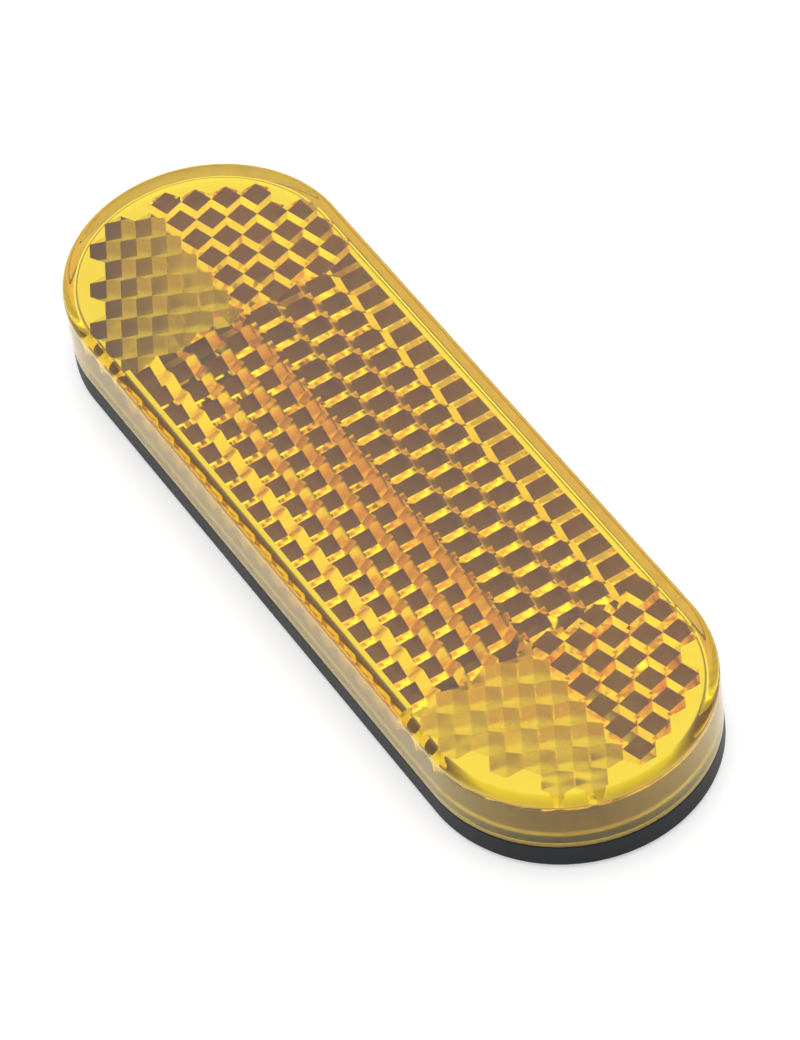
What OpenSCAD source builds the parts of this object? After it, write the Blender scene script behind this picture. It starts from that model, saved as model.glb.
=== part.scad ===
// Oblong stick-on reflector marker: an amber prismatic lens closed by a back plate,
// seated on a black base that carries an adhesive pad in a recess under it.
// Frame: +X along the marker, +Z up, origin at the centre of the pad's underside.

/* [Overall] */
// Length of the marker over its round ends
marker_l = 95; // [70:1:160]
// Width of the marker, which is also the diameter of its round ends
marker_w = 30; // [22:1:50]

/* [Lens] */
// Thickness of the skirt wall
skirt_t = 1.1; // [1:0.1:2.2]
// Thickness of the clear plate above the prisms
plate_t = 2; // [1.2:0.1:3]
// Radius of the rounded top edge
edge_r = 0.9; // [0.3:0.1:1.2]

/* [Prisms] */
// Pitch of the cells along a row, which is also the width of an end cell across its flats
cell_pitch = 3.12; // [2:0.01:4]
// Pitch of the rows in the middle field
row_pitch = 3.25; // [2.6:0.05:4.4]
// Height that a middle cell loses over its sloping inner end
relief_rise = 1.8; // [1:0.1:2.2]
// Slope of that inner end
relief_angle = 60; // [58:1:65]
// Length of each end field, from the tip of the marker
end_field_l = 20.9; // [16:0.1:26]
// Least distance from the middle field to the skirt
side_gap = 0.5; // [0.3:0.1:1.5]
// Least distance from the centre of an end cell to the skirt
end_gap = 1.5; // [0.9:0.1:2.5]
// Width of the fine joint line that the tool leaves between cells
joint_w = 0.02; // [0.01:0.01:0.1]

/* [Back plate] */
// Thickness of the back plate
back_t = 0.8; // [0.5:0.1:1]
// Clearance between the back plate and the skirt
back_clearance = 0.15; // [0.1:0.05:0.4]
// Clearance between the back plate and the prism ridges
prism_gap = 0.24; // [0.1:0.02:0.6]

/* [Base] */
// Height of the base shoulder above the surface
shoulder_z = 3.2; // [2.4:0.1:4]
// Height of the spigot above the shoulder
spigot_h = 0.8; // [0.5:0.1:1]
// Clearance between the spigot and the skirt
spigot_clearance = 0.2; // [0.1:0.05:0.4]

/* [Adhesive pad] */
// Thickness of the pad
pad_t = 1; // [0.6:0.1:1.4]
// Distance that the pad stands out below the base
pad_proud = 0.3; // [0.2:0.05:0.5]
// Width of the base rim round the pad recess
pad_rim = 1.6; // [1:0.1:3]
// Clearance between the pad and the side of its recess
pad_clearance = 0.25; // [0.1:0.05:0.5]

/* [Hidden] */

$fn = 96;
bite = 0.3;         // how far one solid runs into the next before they are joined
arc_steps = 5;      // straight steps in the rounded top edge

end_r = marker_w / 2;
end_x = marker_l / 2 - end_r;
cavity_r = end_r - skirt_t;
half_cell = cell_pitch / 2;

// Heights, built up from the surface so that the prisms never reach the back plate
spigot_top = shoulder_z + spigot_h;
back_top = spigot_top + back_t;
ridge_z = back_top + prism_gap;
plate_z = ridge_z + half_cell + relief_rise;
marker_h = plate_z + plate_t;

// Middle field: roofs with 45 degree sides, so a roof is half a pitch deep
cells_in_row = floor((marker_l - 2 * end_field_l) / cell_pitch);
field_x = cells_in_row * cell_pitch / 2;
relief_run = relief_rise / tan(relief_angle);
rows_per_side = floor((cavity_r - side_gap) / row_pitch);

// End fields: three square faces at right angles, seen down their common diagonal as a hexagon
hex_r = cell_pitch / sqrt(3);
end_row_pitch = 1.5 * hex_r;
apex_z = plate_z - sqrt(2) * hex_r;
last_row = ceil(cavity_r / end_row_pitch);
last_cell = ceil(end_field_l / cell_pitch);

// Outline with round ends, drawn in by a distance all round
module outline(inset) {
    for (side = [-1, 1])
        translate([side * end_x, 0])
            circle(r = end_r - inset);
    square([2 * end_x, 2 * (end_r - inset)], center = true);
}

// Flat slab of that outline between two heights
module slab(inset, z0, z1) {
    translate([0, 0, z0])
        linear_extrude(z1 - z0)
            outline(inset);
}

// Solid that holds a list of points, for any convex shape
module convex(points) {
    hull()
        polyhedron(points, [[for (i = [0 : len(points) - 1]) i]]);
}

// Half section of the lens block, with its rounded top edge
function block_section() = concat(
    [[0, shoulder_z], [end_r, shoulder_z]],
    [for (i = [0 : arc_steps])
        let (a = 90 * i / arc_steps)
        [end_r - edge_r + edge_r * cos(a), marker_h - edge_r + edge_r * sin(a)]],
    [[0, marker_h]]
);

module lens_block() {
    hull()
        for (side = [-1, 1])
            translate([side * end_x, 0, 0])
                rotate_extrude()
                    polygon(block_section());
}

// Points across a roof at one distance along it: its sides at u0 and u1 and its ridge at 0
function roof_points(u0, u1, v, z) = [
    for (u = [u0, 0, u1]) [u, v, z + abs(u)]
];

// One roof of the middle field, with a ridge at u = 0 and its sloping inner end at v = 0
module roof_cell(u0, u1) {
    near = joint_w / 2;
    far = row_pitch - near;
    near_rise = relief_rise - near * tan(relief_angle);
    convex(concat(
        roof_points(u0, u1, near, ridge_z + near_rise),
        roof_points(u0, u1, relief_run, ridge_z),
        roof_points(u0, u1, far, ridge_z),
        [for (u = [u0, u1], v = [near, far]) [u, v, plate_z + bite]]
    ));
}

// One row of roofs; a halved row starts and ends on a ridge, so its end cells are half cells
module roof_row(row, halved) {
    first = halved ? 0 : 0.5;
    for (k = [0 : cells_in_row - 2 * first]) {
        ridge_x = (k + first) * cell_pitch - field_x;
        translate([ridge_x, row * row_pitch, 0])
            roof_cell(
                max(-half_cell, -field_x - ridge_x) + joint_w / 2,
                min(half_cell, field_x - ridge_x) - joint_w / 2
            );
    }
}

// Rows from the middle outwards on both sides, plain and halved rows in turn
module middle_field() {
    for (side = [0, 1])
        mirror([0, side, 0])
            for (row = [0 : rows_per_side - 1])
                roof_row(row, (row + side) % 2 == 1);
}

// Corners of an end cell: high ones point along its faces, low ones lie between them
function end_corner(turn) =
    let (r = hex_r - joint_w / sqrt(3))
    [
        r * cos(turn),
        r * sin(turn),
        apex_z + sqrt(2) * r * ((turn - 30) % 120 == 0 ? 1 : 0.5)
    ];

// One three-faced cell of an end field, or only its half beyond the edge of the middle field
module end_cell(halved) {
    rim = [
        for (turn = [-90 : 60 : (halved ? 90 : 210)]) end_corner(turn)
    ];
    translate([halved ? joint_w / 2 : 0, 0, 0])
        convex(concat(
            [[0, 0, apex_z]],
            rim,
            [for (corner = rim) [corner.x, corner.y, plate_z + bite]]
        ));
}

// The cells of one quarter that stay clear of the skirt; offset rows start half a cell out
module end_quarter(side) {
    for (row = [0 : last_row], k = [0 : last_cell]) {
        offset_row = (row + side) % 2 == 0;
        x = field_x + (k + (offset_row ? 0.5 : 0)) * cell_pitch;
        y = (row + 0.5) * end_row_pitch;
        if (norm([max(x - end_x, 0), y]) < cavity_r - end_gap)
            translate([x, y, 0])
                end_cell(!offset_row && k == 0);
    }
}

module end_fields() {
    for (end = [0, 1], side = [0, 1])
        mirror([end, 0, 0])
            mirror([0, side, 0])
                end_quarter(side);
}

// Lens: block with a skirt, and the prisms moulded under its plate
module lens() {
    color([1, 0.72, 0.02, 0.8]) {
        difference() {
            lens_block();
            slab(skirt_t, shoulder_z - 1, plate_z);
        }
        middle_field();
        end_fields();
    }
}

// Back plate: closes the air space behind the prisms and rests on the spigot
module back_plate() {
    color([0.62, 0.45, 0.25])
        slab(skirt_t + back_clearance, spigot_top, back_top);
}

// Base: shoulder under the skirt, spigot inside it, and a recess for the pad
module base() {
    color([0.09, 0.09, 0.1])
        difference() {
            union() {
                slab(0, pad_proud, shoulder_z);
                slab(skirt_t + spigot_clearance, shoulder_z - bite, spigot_top);
            }
            slab(pad_rim, pad_proud - 1, pad_t);
        }
}

// Adhesive pad: fills the recess and stands out below the base
module adhesive_pad() {
    color([0.16, 0.16, 0.17])
        slab(pad_rim + pad_clearance, 0, pad_t);
}

lens();
back_plate();
base();
adhesive_pad();
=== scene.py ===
"""Oblong stick-on road marker: a clear amber lens with moulded cube-corner prisms, on a black base.

Everything is in metres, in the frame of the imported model: +X along the marker, +Z up, and the
origin at the centre of the adhesive pad's underside.
"""

import logging
import math
from collections import defaultdict
from dataclasses import dataclass, field
from enum import Enum, IntEnum
from typing import Any, Callable, Iterable, Sequence

import bmesh
import bpy
import numpy as np
from mathutils import Matrix, Vector


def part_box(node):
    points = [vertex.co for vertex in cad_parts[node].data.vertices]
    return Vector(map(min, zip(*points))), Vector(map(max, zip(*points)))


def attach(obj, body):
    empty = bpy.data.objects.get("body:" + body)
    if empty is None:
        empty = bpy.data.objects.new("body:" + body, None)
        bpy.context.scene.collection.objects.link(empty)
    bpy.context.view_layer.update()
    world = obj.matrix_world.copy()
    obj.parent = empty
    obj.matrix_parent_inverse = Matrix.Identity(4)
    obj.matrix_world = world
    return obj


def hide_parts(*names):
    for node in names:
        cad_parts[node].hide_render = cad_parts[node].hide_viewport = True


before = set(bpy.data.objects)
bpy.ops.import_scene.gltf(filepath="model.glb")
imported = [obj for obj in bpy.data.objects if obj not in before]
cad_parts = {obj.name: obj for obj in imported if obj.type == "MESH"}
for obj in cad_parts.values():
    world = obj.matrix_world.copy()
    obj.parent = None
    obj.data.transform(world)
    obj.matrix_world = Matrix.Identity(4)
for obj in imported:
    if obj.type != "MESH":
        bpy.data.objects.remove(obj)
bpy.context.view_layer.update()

MM = 0.001
LOG = logging.getLogger("marker")

# Straight steps in the arc of a small softened edge.
EDGE_STEPS = 4

# Length of a short flat step beside a corner, which keeps the shading of the flat even.
FLAT_STEP = 0.1 * MM

Array = np.ndarray
Profile = list[tuple[float, float]]
Groups = dict[tuple, list[tuple[Array, Array]]]


class Slot(Enum):
    """Names of material slots, one for each piece."""

    LENS = "amber_lens"
    BACK = "tan_plate"
    BASE = "black_base"
    PAD = "pad_foam"


class Facing(Enum):
    """Which way a quarter of the prism array is mirrored, as signs on X and Y."""

    RIGHT_UPPER = (1, 1)
    LEFT_UPPER = (-1, 1)
    RIGHT_LOWER = (1, -1)
    LEFT_LOWER = (-1, -1)


class LensFace(IntEnum):
    """Material numbers of the lens faces, in the order of the lens finishes; all but CLEAR carry
    painted light or shade.
    """

    CLEAR = 0
    FOOT = 1
    MARGIN = 2
    RELIEF = 3
    PAINTED_GLINT = 4
    DARK = 5


# ---------------------------------------------------------------------------
# Shader expressions
# ---------------------------------------------------------------------------


class Shade:
    """A material's node tree, with one method that makes every node."""

    def __init__(self, name: str) -> None:
        """Start an empty material.

        Args:
            name: name of the material.
        """
        self.material = bpy.data.materials.new(name)
        self.material.use_nodes = True
        self.tree = self.material.node_tree
        self.tree.nodes.clear()

    def node(
        self, kind: str, settings: dict[str, Any] | None = None, **sockets: Any
    ) -> bpy.types.Node:
        """Make a node: its settings first, then the values or links of its inputs.

        Args:
            kind: Blender's name for the node's type, without the leading ShaderNode.
            settings: attributes of the node, such as a Math node's operation.
            **sockets: inputs by name, with underscores for spaces, or i0, i1 for inputs by number.

        Returns:
            The new node.
        """
        made = self.tree.nodes.new("ShaderNode" + kind)
        for key, value in (settings or {}).items():
            if key == "stops":
                self._set_stops(made.color_ramp, value)
            else:
                setattr(made, key, value)
        for key, value in sockets.items():
            by_number = key[0] == "i" and key[1:].isdigit()
            socket = made.inputs[int(key[1:]) if by_number else key.replace("_", " ")]
            self.plug(socket, value)
        return made

    def plug(self, socket: bpy.types.NodeSocket, value: Any) -> None:
        """Fill an input.

        Args:
            socket: the input.
            value: a Value or an output to link, or a plain number or colour to set.
        """
        if isinstance(value, Value):
            self.tree.links.new(value.socket, socket)
        elif isinstance(value, bpy.types.NodeSocket):
            self.tree.links.new(value, socket)
        else:
            socket.default_value = value

    @staticmethod
    def _set_stops(ramp: bpy.types.ColorRamp, stops: Sequence[tuple[float, float]]) -> None:
        """Give a ramp its stops.

        Args:
            ramp: the ramp of a ColorRamp node.
            stops: pairs of position and grey brightness.
        """
        while len(ramp.elements) < len(stops):
            ramp.elements.new(1.0)
        for element, (position, grey) in zip(ramp.elements, stops):
            element.position = position
            element.color = (grey, grey, grey, 1.0)

    def place(self) -> bpy.types.NodeSocket:
        """Coordinates that every pattern is laid out on: the object's own, in metres."""
        return self.node("TexCoord").outputs["Object"]

    def axes(self) -> tuple["Value", "Value", "Value"]:
        """The three coordinates as separate values."""
        split = self.node("SeparateXYZ", Vector=self.place())
        return tuple(Value(self, split.outputs[axis]) for axis in "XYZ")

    def noise(
        self, cell: float, detail: float = 2.0, stretch: Sequence[float] = (1, 1, 1)
    ) -> "Value":
        """Soft random spots.

        Args:
            cell: typical size of a spot, in metres.
            detail: octaves of finer spots.
            stretch: factors by which the pattern is squeezed along each axis.

        Returns:
            A value from 0 to 1, 0.5 on average.
        """
        mapped = self.node("Mapping", Vector=self.place(), Scale=tuple(stretch))
        made = self.node("TexNoise", Vector=mapped.outputs[0], Scale=1.0 / cell, Detail=detail)
        return Value(self, made.outputs["Fac"])

    def ramp(self, value: "Value", stops: Sequence[tuple[float, float]]) -> "Value":
        """Bend a value through a ramp.

        Args:
            value: the value.
            stops: pairs of position and grey brightness.

        Returns:
            The bent value.
        """
        made = self.node("ValToRGB", {"stops": stops}, Fac=value)
        return Value(self, made.outputs["Color"])

    def blend(
        self, factor: "Value", first: Sequence[float], second: Sequence[float]
    ) -> bpy.types.NodeSocket:
        """Mix two linear colours.

        Args:
            factor: share of the second colour, from 0 to 1.
            first: the colour at 0.
            second: the colour at 1.

        Returns:
            The mixed colour's output.
        """
        made = self.node(
            "Mix", {"data_type": "RGBA"}, i0=factor, i6=(*first, 1.0), i7=(*second, 1.0)
        )
        return made.outputs[2]

    def bump(self, height: "Value", depth: float, strength: float = 1.0) -> bpy.types.NodeSocket:
        """Raise a surface in the look only.

        Args:
            height: height from 0 to 1.
            depth: what a height of 1 stands for, in metres.
            strength: share of the bump that is applied.

        Returns:
            The bumped normal's output.
        """
        made = self.node("Bump", Height=height, Distance=depth, Strength=strength)
        return made.outputs["Normal"]

    def from_axis(self, end_x: float) -> "Value":
        """Distance from the line between the centres of the two round ends, seen from above.

        Args:
            end_x: distance of those centres from the middle.

        Returns:
            The distance, in metres.
        """
        x, y, _ = self.axes()
        beyond = (x.apply("ABSOLUTE") - end_x).apply("MAXIMUM", 0.0)
        return (beyond * beyond + y * y).apply("SQRT")

    def on_wall(self, end_x: float, radius: float, top: float, slack: float) -> "Value":
        """Pick out an upright wall that follows the marker's outline.

        Args:
            end_x: distance of the centres of the round ends from the middle.
            radius: distance of the wall from the line between those centres.
            top: height that the wall stays below.
            slack: how far a point may be off that distance.

        Returns:
            1 on the wall, otherwise 0.
        """
        away = (self.from_axis(end_x) - radius).apply("ABSOLUTE")
        _, _, z = self.axes()
        return away.apply("LESS_THAN", slack) * z.apply("LESS_THAN", top)

    def finish(
        self, surface: bpy.types.Node, volume: bpy.types.Node | None = None
    ) -> bpy.types.Material:
        """Join the shaders to the material's output.

        Args:
            surface: the surface shader.
            volume: the shader of the inside, if there is one.

        Returns:
            The finished material.
        """
        output = self.node("OutputMaterial", Surface=surface.outputs[0])
        if volume is not None:
            self.plug(output.inputs["Volume"], volume.outputs[0])
        return self.material


class Value:
    """A number that varies over a surface, on which Python's operators add Math nodes."""

    def __init__(self, shade: Shade, socket: bpy.types.NodeSocket) -> None:
        """Wrap an output socket of a shade's tree."""
        self.shade = shade
        self.socket = socket

    def _math(self, operation: str, first: Any, second: Any) -> "Value":
        """Add a Math node on two values or numbers."""
        made = self.shade.node("Math", {"operation": operation}, i0=first, i1=second)
        return Value(self.shade, made.outputs[0])

    def apply(self, operation: str, other: Any = 0.0) -> "Value":
        """Another Math operation on the value, with a second operand where it has one."""
        return self._math(operation, self, other)

    def __add__(self, other: Any) -> "Value":
        """Sum."""
        return self._math("ADD", self, other)

    def __radd__(self, other: Any) -> "Value":
        """Sum with a plain number in front."""
        return self._math("ADD", other, self)

    def __sub__(self, other: Any) -> "Value":
        """Difference."""
        return self._math("SUBTRACT", self, other)

    def __rsub__(self, other: Any) -> "Value":
        """Difference from a plain number."""
        return self._math("SUBTRACT", other, self)

    def __mul__(self, other: Any) -> "Value":
        """Product."""
        return self._math("MULTIPLY", self, other)

    def __rmul__(self, other: Any) -> "Value":
        """Product with a plain number in front."""
        return self._math("MULTIPLY", other, self)


# ---------------------------------------------------------------------------
# Finishes
# ---------------------------------------------------------------------------


@dataclass(frozen=True)
class AmberAcrylic:
    """Clear amber moulding with a finely fluted, frosted inner wall.

    It bends light and takes the blue out of it along the way. The wall is where the distance
    from the marker's middle line is wall_radius, below wall_top.
    """

    end_x: float
    wall_radius: float
    wall_top: float
    refraction: float = 1.49
    tint: tuple[float, float, float] = (1.0, 0.84, 0.35)
    inside: tuple[float, float, float] = (0.9995, 0.982, 0.0)
    density: float = 900.0
    gloss: float = 0.004
    haze_cell: float = 0.35 * MM
    frost: float = 0.4
    wall_slack: float = 0.06 * MM
    flute: float = 0.5 * MM
    flute_stretch: tuple[float, float, float] = (1.0, 1.0, 0.04)
    flute_depth: float = 0.5
    ripple_cell: float = 6.0 * MM
    ripple_depth: float = 0.0015 * MM

    def material(self) -> bpy.types.Material:
        """Build the material."""
        shade = Shade("amber_acrylic")
        haze = shade.noise(self.haze_cell, detail=3.0)
        ripple = shade.noise(self.ripple_cell, detail=1.0)
        flutes = shade.noise(self.flute, detail=3.0, stretch=self.flute_stretch)
        wall = shade.on_wall(self.end_x, self.wall_radius, self.wall_top, self.wall_slack)
        frosted = wall * (self.frost + self.flute_depth * (flutes - 0.5))
        surface = shade.node(
            "BsdfPrincipled",
            Base_Color=(*self.tint, 1.0),
            Roughness=self.gloss * haze + frosted,
            IOR=self.refraction,
            Transmission_Weight=1.0,
            Normal=shade.bump(ripple, self.ripple_depth),
        )
        inside = shade.node("VolumeAbsorption", Color=(*self.inside, 1.0), Density=self.density)
        return shade.finish(surface, inside)


@dataclass(frozen=True)
class MouldedPlastic:
    """Opaque moulding with a fine spark-eroded grain and slightly uneven gloss."""

    name: str
    colour: tuple[float, float, float]
    mottle_tone: tuple[float, float, float]
    roughness: float = 0.42
    refraction: float = 1.52
    grain_cell: float = 0.12 * MM
    grain_depth: float = 0.006 * MM
    grain_gloss: float = 0.1
    cloud_cell: float = 9.0 * MM
    cloud_gloss: float = 0.16

    def material(self) -> bpy.types.Material:
        """Build the material."""
        shade = Shade(self.name)
        grain = shade.noise(self.grain_cell, detail=3.0)
        clouds = shade.noise(self.cloud_cell, detail=2.0)
        uneven = self.roughness + self.cloud_gloss * (clouds - 0.5)
        surface = shade.node(
            "BsdfPrincipled",
            Base_Color=shade.blend(clouds, self.colour, self.mottle_tone),
            Roughness=uneven + self.grain_gloss * (grain - 0.5),
            IOR=self.refraction,
            Normal=shade.bump(grain, self.grain_depth),
        )
        return shade.finish(surface)


@dataclass(frozen=True)
class SatinPlate:
    """Satin plastic that shows a colour face on and turns to a bright gloss when grazed; on the prism
    squares that colour is painted shade.
    """

    name: str
    colour: tuple[float, float, float]
    mottle_tone: tuple[float, float, float]
    roughness: float = 0.4
    refraction: float = 1.52
    cloud_cell: float = 7.0 * MM
    cloud_gloss: float = 0.1
    sheen: tuple[float, float, float] = (1.0, 1.0, 1.0)
    sheen_roughness: float = 0.12
    sheen_starts: float = 0.3
    sheen_full: float = 0.5

    def material(self) -> bpy.types.Material:
        """Build the material."""
        shade = Shade(self.name)
        clouds = shade.noise(self.cloud_cell, detail=3.0)
        body = shade.node(
            "BsdfPrincipled",
            Base_Color=shade.blend(clouds, self.colour, self.mottle_tone),
            Roughness=self.roughness + self.cloud_gloss * (clouds - 0.5),
            IOR=self.refraction,
        )
        gloss = shade.node("BsdfGlossy", Color=(*self.sheen, 1.0), Roughness=self.sheen_roughness)
        plain_blend = 0.5
        grazed = Value(shade, shade.node("LayerWeight", Blend=plain_blend).outputs["Facing"])
        share = shade.ramp(grazed, [(self.sheen_starts, 0.0), (self.sheen_full, 1.0)])
        return shade.finish(
            shade.node("MixShader", Fac=share, i1=body.outputs[0], i2=gloss.outputs[0])
        )


@dataclass(frozen=True)
class PaintedLightFace:
    """A slightly spotted face of the lens that is seen from inside, through the amber, painted as a
    glint or a reflection.

    It runs from matt to mirror-like, by its metal and its roughness, and stands in for light that the
    clear moulding would turn back inside itself.
    """

    name: str
    colour: tuple[float, float, float]
    mottle_tone: tuple[float, float, float]
    metal: float = 0.0
    roughness: float = 0.6
    refraction: float = 1.5
    spot: float = 1.5 * MM
    spot_edges: tuple[float, float] = (0.35, 0.65)
    spot_gloss: float = 0.1

    def material(self) -> bpy.types.Material:
        """Build the material."""
        shade = Shade(self.name)
        spots = shade.noise(self.spot, detail=3.0)
        start, full = self.spot_edges
        inside_spots = shade.ramp(spots, [(start, 0.0), (full, 1.0)])
        surface = shade.node(
            "BsdfPrincipled",
            Base_Color=shade.blend(inside_spots, self.colour, self.mottle_tone),
            Roughness=self.roughness + self.spot_gloss * (spots - 0.5),
            Metallic=self.metal,
            IOR=self.refraction,
        )
        return shade.finish(surface)


@dataclass(frozen=True)
class PaintedMargin:
    """The flat strip round the prisms: a painted highlight, bright and half metal, with a painted
    shade line, brown, along the skirt.

    The painted shade line starts at the distance line_from from the line between the centres of the
    two round ends, and is full brown one fade further out.
    """

    end_x: float
    line_from: float
    # bright is the colour of the painted highlight, brown that of the painted shade line.
    bright: tuple[float, float, float] = (1.0, 0.95, 0.7)
    brown: tuple[float, float, float] = (0.2, 0.08, 0.02)
    fade: float = 0.2 * MM
    metal: float = 0.6
    roughness: float = 0.4
    line_rougher: float = 0.2

    def material(self) -> bpy.types.Material:
        """Build the material."""
        shade = Shade("margin_painted_light")
        radius = shade.from_axis(self.end_x)
        share = ((radius - self.line_from) * (1.0 / self.fade)).apply("MAXIMUM", 0.0)
        share = share.apply("MINIMUM", 1.0)
        surface = shade.node(
            "BsdfPrincipled",
            Base_Color=shade.blend(share, self.bright, self.brown),
            Roughness=self.roughness + self.line_rougher * share,
            Metallic=self.metal - self.metal * share,
        )
        return shade.finish(surface)


@dataclass(frozen=True)
class CellFoam:
    """Closed-cell foam: small round pits over a soft, slightly mottled face."""

    colour: tuple[float, float, float] = (0.02, 0.02, 0.022)
    pale: tuple[float, float, float] = (0.045, 0.045, 0.05)
    pit: float = 0.35 * MM
    depth: float = 0.08 * MM
    cloud_cell: float = 4.0 * MM
    roughness: float = 0.75
    pit_gloss: float = 0.2

    def material(self) -> bpy.types.Material:
        """Build the material."""
        shade = Shade("cell_foam")
        pits = shade.node("TexVoronoi", Vector=shade.place(), Scale=1.0 / self.pit)
        dish = Value(shade, pits.outputs["Distance"])
        clouds = shade.noise(self.cloud_cell, detail=3.0)
        surface = shade.node(
            "BsdfPrincipled",
            Base_Color=shade.blend(clouds, self.colour, self.pale),
            Roughness=self.roughness + self.pit_gloss * (dish - 0.5),
            Normal=shade.bump(dish, self.depth),
        )
        return shade.finish(surface)


# ---------------------------------------------------------------------------
# Surfaces
# ---------------------------------------------------------------------------


@dataclass(frozen=True)
class Oblong:
    """An outline with two straight sides and two round ends."""

    length: float
    width: float
    arc_steps: int = 96
    side_steps: int = 64

    @property
    def end_radius(self) -> float:
        """Radius of the round ends."""
        return self.width / 2

    @property
    def end_x(self) -> float:
        """Distance of the centre of a round end from the middle."""
        return self.length / 2 - self.end_radius

    def ring(self, inset: Array) -> Array:
        """Points once round the outline, drawn in by an inset.

        With c the end's centre and r the end's radius less the inset, the right end is
        (c + r cos a, r sin a) for a from -90 to 90 degrees, the left end is its opposite
        (-c - r cos a, -r sin a), and straight steps join the two along each side.

        Args:
            inset: distances to draw the outline in by, one for each ring.

        Returns:
            An array of rings by points by two coordinates.
        """
        radius = self.end_radius - np.asarray(inset, float)[:, None]
        turn = np.linspace(-math.pi / 2, math.pi / 2, self.arc_steps + 1)[None, :]
        end = np.stack([self.end_x + radius * np.cos(turn), radius * np.sin(turn)], axis=2)
        share = np.linspace(0, 1, self.side_steps + 1)[1:-1][None, :]
        side_x = self.end_x * (1 - 2 * share) + 0 * radius
        side = np.stack([side_x, radius + 0 * share], axis=2)
        half = np.concatenate([end, side], axis=1)
        return np.concatenate([half, -half], axis=1)


def link(name: str, mesh: bpy.types.Mesh) -> bpy.types.Object:
    """Put a mesh into the scene as an object at the origin.

    Args:
        name: name of the object.
        mesh: its mesh.

    Returns:
        The new object.
    """
    made = bpy.data.objects.new(name, mesh)
    bpy.context.scene.collection.objects.link(made)
    return made


def mesh_from(name: str, points: Array, faces: Iterable[Sequence[int]]) -> bpy.types.Mesh:
    """Make a mesh.

    Args:
        name: name of the mesh.
        points: an array of points by three coordinates.
        faces: the corner numbers of each face.

    Returns:
        The new mesh.
    """
    mesh = bpy.data.meshes.new(name)
    mesh.from_pydata(points.tolist(), [], [list(face) for face in faces])
    mesh.update()
    return mesh


def swept_solid(name: str, outline: Oblong, profile: Profile) -> bpy.types.Object:
    """Carry a profile round an outline and close it with two flat caps.

    Ring i of the surface is the outline drawn in by the profile's inset i, at its height i.
    The profile runs from the upper cap outwards and back in to the lower cap.

    Args:
        name: name of the new object.
        outline: the outline that the profile follows.
        profile: pairs of inset and height, in metres.

    Returns:
        The new object, a closed solid.
    """
    section = np.asarray(profile, float)
    rings = outline.ring(section[:, 0])
    heights = np.broadcast_to(section[:, 1][:, None, None], rings.shape[:2] + (1,))
    points = np.concatenate([rings, heights], axis=2)
    count, around = rings.shape[:2]
    number = np.arange(count * around).reshape(count, around)
    nearer, further = number[:-1], number[1:]
    quads = np.stack(
        [nearer, further, np.roll(further, -1, axis=1), np.roll(nearer, -1, axis=1)], axis=2
    ).reshape(-1, 4)
    faces = quads.tolist() + [number[0].tolist(), number[-1][::-1].tolist()]
    return link(name, mesh_from(name, points.reshape(-1, 3), faces))


def arc(
    centre: tuple[float, float], radius: float, start: float, stop: float, steps: int = EDGE_STEPS
) -> Profile:
    """Points of a circular arc in a profile.

    Point k is centre + radius (cos a, sin a), where a goes evenly from start to stop.

    Args:
        centre: inset and height of the arc's centre.
        radius: radius of the arc.
        start: first angle in degrees, 0 pointing to a larger inset and 90 pointing up.
        stop: last angle in degrees.
        steps: number of straight steps.

    Returns:
        The points in order.
    """
    turn = np.radians(np.linspace(start, stop, steps + 1))
    inset = centre[0] + radius * np.cos(turn)
    height = centre[1] + radius * np.sin(turn)
    return list(zip(inset.tolist(), height.tolist()))


def slab_profile(top: float, bottom: float, soft: float) -> Profile:
    """Section of a slab with softened edges, from the middle of its top to that of its foot.

    Args:
        top: height of the top.
        bottom: height of the foot.
        soft: radius of the edges.

    Returns:
        Pairs of inset and height.
    """
    points = [(soft + FLAT_STEP, top)]
    points += arc((soft, top - soft), soft, 90, 180)
    points += arc((soft, bottom + soft), soft, 180, 270)
    points += [(soft + FLAT_STEP, bottom)]
    return points


def sharpen(mesh: bpy.types.Mesh, angle: float = 25.0) -> None:
    """Shade a mesh smooth, with creases where two faces meet sharply.

    Args:
        mesh: the mesh.
        angle: the angle in degrees past which an edge is a crease.
    """
    net = bmesh.new()
    net.from_mesh(mesh)
    limit = math.radians(angle)
    for edge in net.edges:
        edge.smooth = edge.calc_face_angle(math.pi) < limit
    for face in net.faces:
        face.smooth = True
    net.to_mesh(mesh)
    net.free()


def settle(piece: bpy.types.Object) -> None:
    """Apply a piece's modifiers and keep the result as its plain mesh.

    Args:
        piece: the piece.
    """
    graph = bpy.context.evaluated_depsgraph_get()
    mesh = bpy.data.meshes.new_from_object(piece.evaluated_get(graph))
    piece.modifiers.clear()
    old = piece.data
    piece.data = mesh
    bpy.data.meshes.remove(old)


def even_shading(piece: bpy.types.Object) -> None:
    """Crease a piece, and let large flat faces set the normals at their edges.

    Args:
        piece: the piece.
    """
    sharpen(piece.data)
    modifier = piece.modifiers.new("even_normals", "WEIGHTED_NORMAL")
    modifier.keep_sharp = True
    modifier.weight = 100
    settle(piece)


def dress(piece: bpy.types.Object, finishes: Sequence[Any], slot: Slot, *nodes: str) -> None:
    """Give a piece its finishes and its place in the frame.

    Args:
        piece: the finished piece.
        finishes: its finishes, in the order of the material numbers of its faces.
        slot: the material slot that the finishes belong to; not used.
        *nodes: the CAD nodes that the piece stands for.
    """
    piece.data.materials.clear()
    for finish in finishes:
        piece.data.materials.append(finish.material())
    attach(piece, "root")
    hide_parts(*nodes)
    LOG.info("%s: %d faces", piece.name, len(piece.data.polygons))


# ---------------------------------------------------------------------------
# Prisms
# ---------------------------------------------------------------------------


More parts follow.
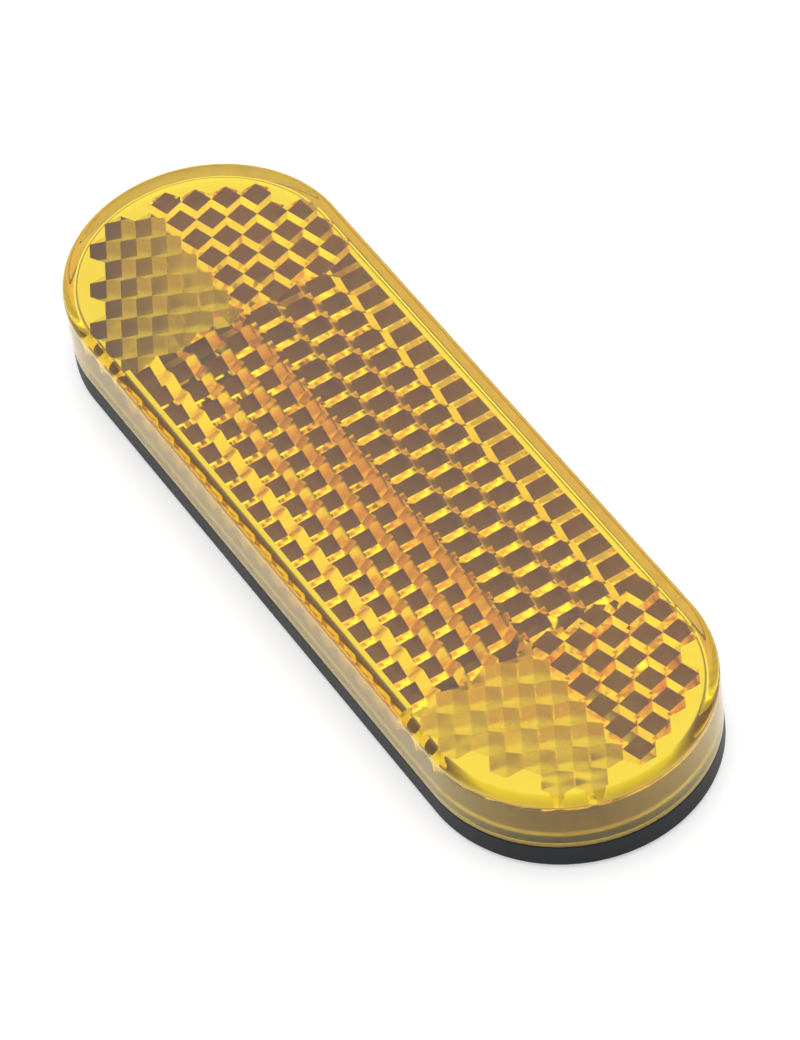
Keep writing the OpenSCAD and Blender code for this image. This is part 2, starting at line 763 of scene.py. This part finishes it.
@dataclass(frozen=True)
class Cell:
    """A convex prism cell, as its corner points."""

    points: Array

    def faces(self) -> Array:
        """Find the convex hull of the points.

        Returns:
            Its triangles, as numbers of points, facing outwards.
        """
        net = bmesh.new()
        corners = [net.verts.new(Vector(point)) for point in self.points]
        number = {corner: i for i, corner in enumerate(corners)}
        bmesh.ops.convex_hull(net, input=corners)
        bmesh.ops.recalc_face_normals(net, faces=net.faces)
        found = np.array([[number[v] for v in face.verts] for face in net.faces])
        net.free()
        return found

    def copies(self, places: Array, facing: Facing) -> tuple[Array, Array]:
        """Repeat the cell at many places, then mirror them all.

        Corner j of copy i is point j plus place i, times the facing's signs.

        Args:
            places: X and Y of each copy before mirroring.
            facing: the quarter that the copies belong to.

        Returns:
            The points and the triangles of all the copies.
        """
        faces = self.faces()
        shift = np.concatenate([places, np.zeros((len(places), 1))], axis=1)
        points = self.points[None] + shift[:, None]
        points = points * np.array([*facing.value, 1.0])
        if facing.value[0] * facing.value[1] < 0:
            faces = faces[:, ::-1]
        step = len(self.points) * np.arange(len(places))[:, None, None]
        return points.reshape(-1, 3), (faces[None] + step).reshape(-1, 3)


@dataclass
class PrismArray:
    """The prisms under the lens plate: roofs in the middle, three-faced cells at both ends."""

    outline: Oblong
    plate_z: float
    cavity_radius: float
    pitch: float = 3.12 * MM
    row_pitch: float = 3.25 * MM
    relief_rise: float = 1.8 * MM
    relief_angle: float = 60.0
    end_field: float = 20.9 * MM
    side_gap: float = 0.5 * MM
    end_gap: float = 1.5 * MM
    overlap: float = 0.004 * MM
    bite: float = 0.3 * MM

    def __post_init__(self) -> None:
        """Work out the counts and heights that follow from the sizes."""
        self.in_row = int((self.outline.length - 2 * self.end_field) / self.pitch)
        self.field_x = self.in_row * self.pitch / 2
        self.rows = int((self.cavity_radius - self.side_gap) / self.row_pitch)
        self.hex_radius = self.pitch / math.sqrt(3)
        self.end_rows = math.ceil(self.cavity_radius / (1.5 * self.hex_radius)) + 1
        self.end_cells = math.ceil(self.end_field / self.pitch) + 1

    def roof(self, low: float, high: float) -> Cell:
        """One roof of the middle field, from u = low to u = high across its ridge at u = 0.

        The underside is z = ridge + |u|, and within the relief at the inner end it also
        rises with the distance from the crease times the relief angle's tangent.

        Args:
            low: one side of the roof, at or below 0.
            high: its other side, at or above 0.

        Returns:
            The roof, with its inner end at v = 0.
        """
        slope = math.tan(math.radians(self.relief_angle))
        ridge = self.plate_z - self.relief_rise - self.pitch / 2
        crease = self.relief_rise / slope
        across = sorted({low, 0.0, high})
        near = -self.overlap
        stations = [(near, self.relief_rise + self.overlap * slope), (crease, 0.0)]
        stations += [(self.row_pitch + self.overlap, 0.0)]
        under = [(u, v, ridge + abs(u) + rise) for v, rise in stations for u in across]
        top = self.plate_z + self.bite
        over = [(u, v, top) for u in (low, high) for v in (near, self.row_pitch + self.overlap)]
        return Cell(np.array(under + over))

    def corner(self, halved: bool) -> Cell:
        """One end cell: three square faces that meet at an apex, over a hexagon.

        The underside is z = apex + sqrt(2) times the distance along the steepest face.

        Args:
            halved: keep only the half beyond the edge of the middle field.

        Returns:
            The cell, centred on the origin.
        """
        apex = self.plate_z - math.sqrt(2) * self.hex_radius
        radius = self.hex_radius + self.overlap
        last_corner = 90 if halved else 210
        turn = np.radians(np.arange(-90, last_corner + 1, 60))
        high = np.isclose(np.cos(3 * (turn - math.radians(30))), 1)
        rise = math.sqrt(2) * radius * np.where(high, 1.0, 0.5)
        x, y = radius * np.cos(turn), radius * np.sin(turn)
        rim = np.stack([x, y, apex + rise], axis=1)
        top = np.stack([x, y, np.full_like(x, self.plate_z + self.bite)], axis=1)
        return Cell(np.concatenate([[[0.0, 0.0, apex]], rim, top]))

    def middle_places(self, row: int, halved: bool, parity: int) -> Array:
        """Ridges of a middle row's whole cells, every second one of them.

        Args:
            row: number of the row, from the middle of the marker outwards.
            halved: the row starts and ends on a ridge, with half a cell.
            parity: 0 or 1, which of the alternate cells to return.

        Returns:
            X and Y of each cell.
        """
        first = 1.0 if halved else 0.5
        count = self.in_row - (1 if halved else 0)
        x = (np.arange(count) + first) * self.pitch - self.field_x
        x = x[parity::2]
        return np.stack([x, np.full_like(x, row * self.row_pitch)], axis=1)

    def end_places(self, row: int, offset_row: bool, parity: int) -> Array:
        """Centres of an end row's whole cells that stay clear of the skirt, every second one.

        Args:
            row: number of the row, from the middle of the marker outwards.
            offset_row: the row starts half a cell beyond the middle field.
            parity: 0 or 1, which of the alternate cells to return.

        Returns:
            X and Y of each cell in the first quarter.
        """
        first = 0.5 if offset_row else 1.0
        x = self.field_x + (np.arange(self.end_cells) + first) * self.pitch
        y = np.full_like(x, self.end_row_y(row))
        beyond = np.maximum(x - self.outline.end_x, 0)
        clear = np.hypot(beyond, y) < self.cavity_radius - self.end_gap
        return np.stack([x, y], axis=1)[clear][parity::2]

    def end_row_y(self, row: int) -> float:
        """Distance of an end row's centres from the middle line."""
        return (row + 0.5) * 1.5 * self.hex_radius

    def add_roofs(self, found: Groups) -> None:
        """Add the middle field, whose rows start with half a cell every second time.

        Args:
            found: the groups to add the cells to.
        """
        half, over = self.pitch / 2, self.overlap
        whole = self.roof(-half - over, half + over)
        start, stop = self.roof(0.0, half + over), self.roof(-half - over, 0.0)
        for side, facing in ((0, Facing.RIGHT_UPPER), (1, Facing.RIGHT_LOWER)):
            for row in range(self.rows):
                line = (row + side) % 2
                halved = line == 1
                for parity in (0, 1):
                    places = self.middle_places(row, halved, parity)
                    found[("roof", line, parity)].append(whole.copies(places, facing))
                if halved:
                    y = row * self.row_pitch
                    for cell, x in ((start, -self.field_x), (stop, self.field_x)):
                        found[("half", line)].append(cell.copies(np.array([[x, y]]), facing))

    def add_corners(self, found: Groups) -> None:
        """Add the two end fields, with halved cells along the edge of the middle field.

        Args:
            found: the groups to add the cells to.
        """
        whole, halved = self.corner(False), self.corner(True)
        for facing in Facing:
            side = 0 if facing.value[1] > 0 else 1
            for row in range(self.end_rows):
                line = (row + side) % 2
                offset_row = line == 0
                for parity in (0, 1):
                    places = self.end_places(row, offset_row, parity)
                    if len(places):
                        found[("end", line, parity)].append(whole.copies(places, facing))
                y = self.end_row_y(row)
                inside = math.hypot(max(self.field_x - self.outline.end_x, 0), y)
                if not offset_row and inside < self.cavity_radius - self.end_gap:
                    place = np.array([[self.field_x, y]])
                    found[("end_half", line)].append(halved.copies(place, facing))

    def groups(self) -> list[tuple[Array, Array]]:
        """All the cells, in groups whose cells don't touch one another.

        Returns:
            Points and triangles of each group.
        """
        found: Groups = defaultdict(list)
        self.add_roofs(found)
        self.add_corners(found)
        return [self.joined(parts) for parts in found.values()]

    @staticmethod
    def joined(parts: list[tuple[Array, Array]]) -> tuple[Array, Array]:
        """Put several sets of cells into one.

        Args:
            parts: points and triangles of each set.

        Returns:
            The points and triangles of all the sets.
        """
        starts = np.cumsum([0] + [len(points) for points, _ in parts[:-1]])
        faces = [faces + start for (_, faces), start in zip(parts, starts)]
        return np.concatenate([points for points, _ in parts]), np.concatenate(faces)


# ---------------------------------------------------------------------------
# Sub-assemblies
# ---------------------------------------------------------------------------


def node_size(node: str) -> tuple[Vector, Vector]:
    """Look up where a CAD node is.

    Args:
        node: name of the node.

    Returns:
        Its size and its lowest corner.
    """
    low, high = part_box(node)
    return high - low, low


@dataclass
class Lens:
    """The amber moulding: a plate with a rounded edge, a skirt, and the prisms under the plate."""

    skirt: float = 1.1 * MM
    plate: float = 2.0 * MM
    edge: float = 0.9 * MM
    edge_steps: int = 14
    edge_flat: float = 0.15 * MM
    foot: float = 0.12 * MM
    corner: float = 0.35 * MM
    corner_steps: int = 6
    air: float = 0.03 * MM
    # Width of the margin's painted shade line, in from the skirt.
    line: float = 0.45 * MM
    clear_top: float = 0.1 * MM
    # Height of the painted highlight band at the skirt's foot.
    foot_band: float = 0.2 * MM
    plate_slack: float = 0.05 * MM

    # Painted highlight: a bright gold, mostly metal band on the skirt's foot, seen through the skirt
    # as a bright ring.
    foot_painted_highlight: PaintedLightFace = field(
        default_factory=lambda: PaintedLightFace(
            "foot_painted_highlight_face", (1.0, 0.95, 0.6), (1.0, 0.9, 0.5), metal=0.8, roughness=0.3
        )
    )
    # Painted reflection: the roofs' relief facets are a white mirror, for the light that the clear
    # facets would reflect.
    relief_painted_reflection: PaintedLightFace = field(
        default_factory=lambda: PaintedLightFace(
            "relief_painted_reflection_face", (1.0, 1.0, 1.0), (1.0, 0.95, 0.85), metal=1.0, roughness=0.12
        )
    )
    # Painted glint: the -Y end cells' faces that aren't painted shade are a near-mirror white, for
    # the light that total internal reflection in the clear prisms would send back.
    prism_painted_glint: PaintedLightFace = field(
        default_factory=lambda: PaintedLightFace(
            "prism_painted_glint_face", (1.0, 1.0, 1.0), (1.0, 0.92, 0.75), metal=0.9, roughness=0.26
        )
    )
    # Painted shade: the -Y end cells' leftward faces are brown face on, for the dark squares of
    # shade; past about the critical angle the gloss takes over, standing in for total internal
    # reflection.
    prism_painted_shade: SatinPlate = field(
        default_factory=lambda: SatinPlate(
            "prism_painted_shade_face", (0.16, 0.07, 0.04), (0.2, 0.09, 0.05), sheen_starts=0.256, sheen_full=0.264
        )
    )

    def profile(self, top: float, bottom: float) -> Profile:
        """Section of the lens shell: over the plate, down the skirt and up inside it.

        Args:
            top: height of the lens top.
            bottom: height of the skirt's foot.

        Returns:
            Pairs of inset and height.
        """
        under = top - self.plate
        points = [(self.edge + self.edge_flat, top)]
        points += arc((self.edge, top - self.edge), self.edge, 90, 180, self.edge_steps)
        points += arc((self.foot, bottom + self.foot), self.foot, 180, 270)
        points += arc((self.skirt - self.foot, bottom + self.foot), self.foot, 270, 360)
        points += arc(
            (self.skirt + self.corner, under - self.corner), self.corner, 180, 90, self.corner_steps
        )
        points += [(self.skirt + self.corner + FLAT_STEP, under)]
        return points

    def add_prisms(self, piece: bpy.types.Object, prisms: PrismArray) -> None:
        """Join the prisms to the lens shell, one group of cells after another.

        Args:
            piece: the shell.
            prisms: the prisms.
        """
        tools = []
        for index, (points, faces) in enumerate(prisms.groups()):
            tool = link(f"prisms_{index}", mesh_from(f"prisms_{index}", points, faces))
            tools.append(tool)
            union = piece.modifiers.new(tool.name, "BOOLEAN")
            union.operation, union.solver, union.object = "UNION", "MANIFOLD", tool
        settle(piece)
        for tool in tools:
            bpy.data.objects.remove(tool)

    def build(self) -> bpy.types.Object:
        """Make the lens.

        Returns:
            The finished piece.
        """
        size, low = node_size("lens")
        outline = Oblong(size.x, size.y)
        top, bottom = low.z + size.z, low.z + self.air
        under, wall = top - self.plate, outline.end_radius - self.skirt
        piece = swept_solid("amber_lens", outline, self.profile(top, bottom))
        sharpen(piece.data)
        self.add_prisms(piece, PrismArray(outline, under, wall))
        even_shading(piece)
        finishes = {
            LensFace.CLEAR: AmberAcrylic(outline.end_x, wall, under - self.clear_top),
            LensFace.FOOT: self.foot_painted_highlight,
            LensFace.MARGIN: PaintedMargin(outline.end_x, wall - self.line),
            LensFace.RELIEF: self.relief_painted_reflection,
            LensFace.PAINTED_GLINT: self.prism_painted_glint,
            LensFace.DARK: self.prism_painted_shade,
        }
        dress(piece, [finishes[face] for face in LensFace], Slot.LENS, "lens")
        for face in piece.data.polygons:
            face.material_index = self.face_kind(face.normal, face.center, under, bottom)
        return piece

    def face_kind(self, normal: Vector, place: Vector, under: float, bottom: float) -> LensFace:
        """Find the finish of a lens face, and with it where the painted highlights, painted
        reflections and painted shade go.

        The reliefs of the roofs have the normal (1, sqrt 3, -1) / sqrt 5, with either sign on X
        and Y, and the faces of the end cells tilt by their cosine, 1 / sqrt 3.

        Args:
            normal: the face's normal.
            place: the face's centre.
            under: height of the plate's underside.
            bottom: height of the skirt's foot.

        Returns:
            The face's material number.
        """
        match, downward, level, leftward = 0.03, -0.9, -0.95, -0.3
        relief_y, relief_z, cell_z = math.sqrt(3 / 5), math.sqrt(1 / 5), math.sqrt(1 / 3)
        # The skirt's foot gets the painted highlight.
        if normal.z < downward and place.z < bottom + self.foot_band:
            return LensFace.FOOT
        # The flat strip round the prisms gets the painted highlight and the painted shade line.
        if normal.z < level and abs(place.z - under) < self.plate_slack:
            return LensFace.MARGIN
        if place.z >= under:
            return LensFace.CLEAR
        # Relief facets get the painted reflection, except a strip just past the middle line.
        if abs(normal.z + relief_z) < match and abs(abs(normal.y) - relief_y) < match:
            return LensFace.CLEAR if 0 < place.y < self.skirt else LensFace.RELIEF
        # Only the end cells on the -Y side get the painted glint and painted shade; the same cells on
        # +Y stay clear.
        if abs(normal.z + cell_z) < match and place.y < 0:
            return LensFace.DARK if normal.x < leftward else LensFace.PAINTED_GLINT
        return LensFace.CLEAR


@dataclass
class Base:
    """The black base: shoulder, spigot and pad recess, with softened edges."""

    finish: MouldedPlastic = field(
        default_factory=lambda: MouldedPlastic(
            "black_abs", (0.004, 0.0055, 0.008), (0.008, 0.0105, 0.014), 0.5, 1.3
        )
    )
    spigot: float = 0.8 * MM
    spigot_inset: float = 1.3 * MM
    recess: float = 0.7 * MM
    rim: float = 1.6 * MM
    soft: float = 0.18 * MM
    shoulder_steps: int = 5
    foot: float = 0.35 * MM
    foot_steps: int = 6

    def build(self) -> bpy.types.Object:
        """Make the base.

        Returns:
            The finished piece.
        """
        size, low = node_size("base")
        outline = Oblong(size.x, size.y)
        top = low.z + size.z
        shoulder = top - self.spigot
        inner = self.spigot_inset
        roof = low.z + self.recess
        profile = [(inner + self.soft + FLAT_STEP, top)]
        profile += arc((inner + self.soft, top - self.soft), self.soft, 90, 180)
        profile += [(inner, shoulder), (inner - FLAT_STEP, shoulder)]
        profile += arc((self.soft, shoulder - self.soft), self.soft, 90, 180, self.shoulder_steps)
        profile += arc((self.foot, low.z + self.foot), self.foot, 180, 270, self.foot_steps)
        profile += arc((self.rim - self.soft, low.z + self.soft), self.soft, 270, 360)
        profile += [(self.rim, roof), (self.rim + FLAT_STEP, roof)]
        piece = swept_solid("black_base", outline, profile)
        even_shading(piece)
        dress(piece, [self.finish], Slot.BASE, "base")
        return piece


@dataclass
class BackPlate:
    """The plate that closes the air space behind the prisms."""

    finish: SatinPlate = field(
        default_factory=lambda: SatinPlate("tan_abs", (0.2, 0.085, 0.05), (0.26, 0.12, 0.07))
    )
    soft: float = 0.12 * MM

    def build(self) -> bpy.types.Object:
        """Make the back plate.

        Returns:
            The finished piece.
        """
        size, low = node_size("back_plate")
        profile = slab_profile(low.z + size.z, low.z, self.soft)
        piece = swept_solid("back_plate_skin", Oblong(size.x, size.y), profile)
        even_shading(piece)
        dress(piece, [self.finish], Slot.BACK, "back_plate")
        return piece


@dataclass
class Pad:
    """The adhesive foam pad in its recess under the base."""

    finish: CellFoam = field(default_factory=CellFoam)
    soft: float = 0.15 * MM

    def build(self) -> bpy.types.Object:
        """Make the pad.

        Returns:
            The finished piece.
        """
        size, low = node_size("adhesive_pad")
        profile = slab_profile(low.z + size.z, low.z, self.soft)
        piece = swept_solid("foam_pad", Oblong(size.x, size.y), profile)
        even_shading(piece)
        dress(piece, [self.finish], Slot.PAD, "adhesive_pad")
        return piece


# ---------------------------------------------------------------------------
# Studio
# ---------------------------------------------------------------------------


@dataclass(frozen=True)
class Studio:
    """White floor, white surroundings, one soft lamp and the camera."""

    sky: float = 1.0
    lamp_watts: float = 0.55
    lamp_size: float = 0.5
    lamp_place: tuple[float, float, float] = (-0.25, 0.2, 0.55)
    floor_reach: float = 3.0
    floor_drop: float = 0.02 * MM
    floor_white: float = 0.86
    seen_white: float = 0.35

    aim: tuple[float, float, float] = (-0.655 * MM, 1.682 * MM, 0.0)
    bearing: float = -25.37
    elevation: float = 49.71
    roll: float = -8.94
    distance: float = 556.5 * MM
    focal: float = 194.35
    sensor: float = 36.0
    clip: tuple[float, float] = (0.01, 20.0)

    bounces: int = 24
    gloss_bounces: int = 16

    def floor(self) -> None:
        """Lay the floor, which lamps light as white paper and which looks a little brighter."""
        reach = self.floor_reach
        corners = np.array([(x, y, 0.0) for x, y in ((-1, -1), (1, -1), (1, 1), (-1, 1))]) * reach
        corners[:, 2] = -self.floor_drop
        piece = link("floor", mesh_from("floor", corners, [(0, 1, 2, 3)]))
        shade = Shade("floor_paper")
        paper = shade.node("BsdfDiffuse", Color=(*[self.floor_white] * 3, 1.0))
        glow = shade.node("Emission", Color=(1.0, 1.0, 1.0, 1.0), Strength=self.seen_white)
        both = shade.node("AddShader", i0=paper.outputs[0], i1=glow.outputs[0])
        mixed = shade.node(
            "MixShader", Fac=self.seen(shade), i1=paper.outputs[0], i2=both.outputs[0]
        )
        piece.data.materials.append(shade.finish(mixed))

    @staticmethod
    def seen(shade: Shade) -> Value:
        """Tell by which rays a surface is seen.

        Args:
            shade: the material that asks.

        Returns:
            1 on rays from the camera, off gloss and through glass, otherwise 0.
        """
        path = shade.node("LightPath")
        kinds = ("Camera", "Glossy", "Transmission")
        camera, gloss, glass = (Value(shade, path.outputs[f"Is {kind} Ray"]) for kind in kinds)
        return (camera + gloss + glass).apply("MINIMUM", 1.0)

    def surroundings(self) -> None:
        """Light everything evenly, and show plain white behind the floor's edge."""
        world = bpy.data.worlds.new("studio")
        world.use_nodes = True
        bpy.context.scene.world = world
        background = world.node_tree.nodes["Background"]
        background.inputs["Color"].default_value = (1.0, 1.0, 1.0, 1.0)
        background.inputs["Strength"].default_value = self.sky

    def lamp(self) -> None:
        """Hang one large soft lamp, turned to the marker."""
        data = bpy.data.lights.new("soft_lamp", "AREA")
        data.shape, data.size, data.energy = "DISK", self.lamp_size, self.lamp_watts
        lamp = bpy.data.objects.new("soft_lamp", data)
        bpy.context.scene.collection.objects.link(lamp)
        lamp.location = self.lamp_place
        lamp.rotation_euler = (-Vector(self.lamp_place)).to_track_quat("-Z", "Y").to_euler()

    def camera(self) -> None:
        """Place the camera from its bearing, elevation, distance and roll."""
        bearing, lift = math.radians(self.bearing), math.radians(self.elevation)
        back = Vector(
            (math.cos(bearing) * math.cos(lift), math.sin(bearing) * math.cos(lift), math.sin(lift))
        )
        level = Vector((0, 0, 1)).cross(back).normalized()
        roll = math.radians(self.roll)
        right = level * math.cos(roll) + back.cross(level) * math.sin(roll)
        up = back.cross(right)
        data = bpy.data.cameras.new("camera")
        data.lens, data.sensor_width = self.focal, self.sensor
        data.clip_start, data.clip_end = self.clip
        camera = bpy.data.objects.new("camera", data)
        bpy.context.scene.collection.objects.link(camera)
        turn = Matrix((right, up, back)).transposed().to_4x4()
        camera.matrix_world = Matrix.Translation(Vector(self.aim) + back * self.distance) @ turn
        bpy.context.scene.camera = camera

    def light_paths(self) -> None:
        """Let light turn often enough inside the prisms to find its way out."""
        cycles = bpy.context.scene.cycles
        cycles.max_bounces = self.bounces
        cycles.glossy_bounces = self.gloss_bounces
        cycles.transmission_bounces = self.bounces

    def build(self) -> None:
        """Set everything up."""
        self.camera()
        self.floor()
        self.surroundings()
        self.lamp()
        self.light_paths()
        bpy.context.scene.view_settings.view_transform = "Standard"


def main() -> None:
    """Build the studio and every piece in order."""
    logging.basicConfig(level=logging.INFO, format="%(name)s %(message)s")
    Studio().build()
    makers: list[Callable[[], bpy.types.Object]] = [
        Pad().build,
        Base().build,
        BackPlate().build,
        Lens().build,
    ]
    for make in makers:
        make()


if __name__ == "__main__":
    main()
